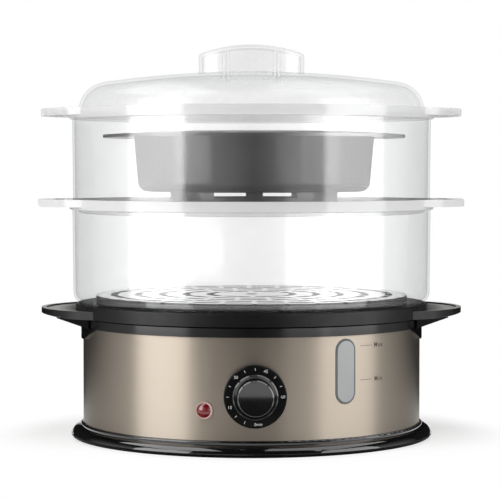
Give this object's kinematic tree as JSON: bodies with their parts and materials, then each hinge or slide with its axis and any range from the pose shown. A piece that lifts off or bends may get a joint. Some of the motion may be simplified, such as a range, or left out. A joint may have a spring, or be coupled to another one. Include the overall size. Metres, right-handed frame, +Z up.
{
  "type": "electric food steamer",
  "caption": "Electric food steamer: round base with water tank and timer dial, clear stacked steaming baskets, a rice bowl and a domed lid.",
  "frame": {"origin": "on the table, under the centre of the round base", "axes": "+Z up, -Y towards the user (the timer dial's side), +X to the user's right, through the carrying handles"},
  "size_m": [0.2852, 0.2496, 0.2613],
  "materials": {
    "steel_band": "champagne brushed",
    "black_gloss": "gloss",
    "black_satin": "satin",
    "housing_plastic": "matte",
    "clear_plastic": "frosted clear",
    "grille_plastic": "satin",
    "bowl_plastic": "satin",
    "window_plastic": "smoked clear",
    "lamp_red": "clear red",
    "neon_glass": "clear",
    "rubber_black": "matte",
    "seal_grey": "matte",
    "sheet_steel": "plated",
    "screw_steel": "plated",
    "heater_aluminium": "cast, polished",
    "element_steel": "heat-tinted",
    "brass": "plain",
    "phenolic": "matte",
    "white_ceramic": "matte",
    "natural_nylon": "natural",
    "wire_brown": "silicone sleeve",
    "wire_blue": "silicone sleeve"
  },
  "bodies": {
    "base": {"foot_ring": "black_gloss", "metal_band": "steel_band", "base_housing": "housing_plastic", "bottom_cover": "housing_plastic", "rubber_feet": "rubber_black", "cover_screws": "screw_steel", "top_collar": "black_satin", "water_window": "window_plastic", "window_gasket": "seal_grey", "lamp_lens": "lamp_red", "lamp_nut": "natural_nylon", "neon_lamp": "neon_glass", "dial_plate": "black_satin", "timer_nut": "sheet_steel", "timer_case": "sheet_steel", "timer_back_plate": "sheet_steel", "switch_block": "phenolic", "switch_contacts": "brass", "bell": "sheet_steel", "bell_screw": "screw_steel", "heater_plate": "heater_aluminium", "heater_tube": "element_steel", "heater_terminals": "sheet_steel", "heater_gasket": "seal_grey", "heater_clamp": "sheet_steel", "heater_screws": "screw_steel", "thermostat": "phenolic", "thermostat_clip": "sheet_steel", "thermal_fuse": "white_ceramic", "cord_gland": "rubber_black", "terminal_block": "natural_nylon", "lead_to_timer": "wire_brown", "lead_to_heater": "wire_brown", "lead_neutral": "wire_blue"},
    "timer": {"timer_knob": "black_gloss", "timer_shaft": "screw_steel", "main_gear": "brass", "timer_cam": "natural_nylon", "spring_barrel": "brass"},
    "pinion": {"pinion": "brass"},
    "bell_hammer": {"bell_hammer": "sheet_steel"},
    "steam_ring": {"steam_ring": "grille_plastic"},
    "drip_tray": {"drip_tray": "black_satin"},
    "lower_basket": {"lower_basket": "clear_plastic"},
    "lower_grille": {"lower_grille": "grille_plastic"},
    "upper_basket": {"upper_basket": "clear_plastic"},
    "upper_grille": {"upper_grille": "grille_plastic"},
    "rice_bowl": {"rice_bowl": "bowl_plastic"},
    "lid": {"lid_dome": "clear_plastic", "lid_handle": "clear_plastic"}
  },
  "joints": [
    {"name": "timer_turn", "type": "hinge", "parent": "base", "child": "timer", "pos_m": [0, -0.1146, 0.0386], "axis": [0, 1, 0], "range_deg": [0, 270]},
    {"name": "pinion_spin", "type": "hinge", "parent": "base", "child": "pinion", "pos_m": [0, -0.09925, 0.0566], "axis": [0, 1, 0], "range_deg": [-810, 0]},
    {"name": "bell_strike", "type": "hinge", "parent": "base", "child": "bell_hammer", "pos_m": [-0.021, -0.07965, 0.0256], "axis": [0, 1, 0], "range_deg": [0, 9], "stiffness_Nm_per_rad": 0.002, "springref_deg": -2.86},
    {"name": "steam_ring_lift", "type": "slide", "parent": "base", "child": "steam_ring", "axis": [0, 0, 1], "range_m": [0, 0.065]},
    {"name": "drip_tray_lift", "type": "slide", "parent": "steam_ring", "child": "drip_tray", "axis": [0, 0, 1], "range_m": [0, 0.06]},
    {"name": "lower_basket_lift", "type": "slide", "parent": "drip_tray", "child": "lower_basket", "axis": [0, 0, 1], "range_m": [0, 0.06]},
    {"name": "lower_grille_lift", "type": "slide", "parent": "lower_basket", "child": "lower_grille", "axis": [0, 0, 1], "range_m": [0, 0.08]},
    {"name": "upper_basket_lift", "type": "slide", "parent": "lower_grille", "child": "upper_basket", "axis": [0, 0, 1], "range_m": [0, 0.06]},
    {"name": "upper_grille_lift", "type": "slide", "parent": "upper_basket", "child": "upper_grille", "axis": [0, 0, 1], "range_m": [0, 0.08]},
    {"name": "rice_bowl_lift", "type": "slide", "parent": "upper_grille", "child": "rice_bowl", "axis": [0, 0, 1], "range_m": [0, 0.08]},
    {"name": "lid_lift", "type": "slide", "parent": "rice_bowl", "child": "lid", "axis": [0, 0, 1], "range_m": [0, 0.06]}
  ],
  "couplings": [
    {"joint": "pinion_spin", "follows": "timer_turn", "ratio": -3}
  ]
}
